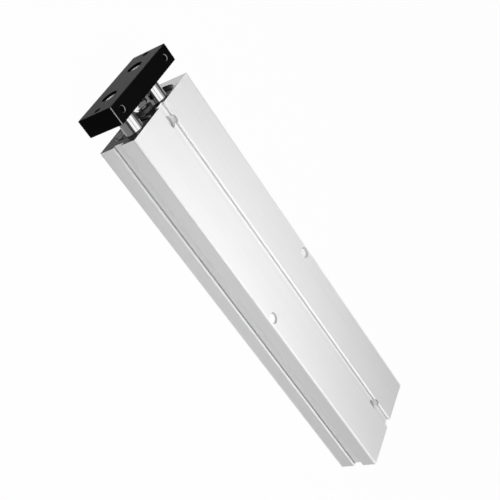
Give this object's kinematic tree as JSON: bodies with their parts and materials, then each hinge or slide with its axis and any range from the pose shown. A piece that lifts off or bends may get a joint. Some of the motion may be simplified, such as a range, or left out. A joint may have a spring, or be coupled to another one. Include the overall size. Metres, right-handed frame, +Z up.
{
  "type": "twin-rod pneumatic cylinder",
  "caption": "Flat aluminium pneumatic cylinder with parallel guided piston rods joined by a black end plate, sensor slots, counterbored mounting holes and a rubber-faced stop screw.",
  "frame": {"origin": "centre of the barrel's underside", "axes": "+X along the stroke, out of the rod end; +Z up, out of the wide face with the counterbores; +Y to the left, out of the narrow face with the sensor slot"},
  "size_m": [0.412, 0.098, 0.038],
  "materials": {
    "clear_anodised": "fine satin, clear anodised",
    "black_anodised": "satin, black anodised",
    "chrome": "hard chrome, polished",
    "bright_steel": "bright plated",
    "dark_steel": "phosphated",
    "turned_aluminium": "fine turned",
    "rubber": "matte"
  },
  "bodies": {
    "barrel": {"barrel": "clear_anodised", "front_cover_left": "black_anodised", "front_cover_right": "black_anodised", "rear_cover_left": "black_anodised", "rear_cover_right": "black_anodised", "retaining_rings": "dark_steel", "rod_seals": "rubber"},
    "carriage": {"end_plate": "black_anodised", "rod_left": "chrome", "rod_right": "chrome", "rod_screw_left": "bright_steel", "rod_screw_right": "bright_steel", "piston_left": "turned_aluminium", "piston_right": "turned_aluminium", "piston_seals": "rubber", "piston_nut_left": "bright_steel", "piston_nut_right": "bright_steel", "stop_bolt": "bright_steel", "stop_nut": "bright_steel", "stop_bumper": "rubber"}
  },
  "joints": [
    {"name": "rod_stroke", "type": "slide", "parent": "barrel", "child": "carriage", "axis": [1, 0, 0], "range_m": [0, 0.3]}
  ]
}
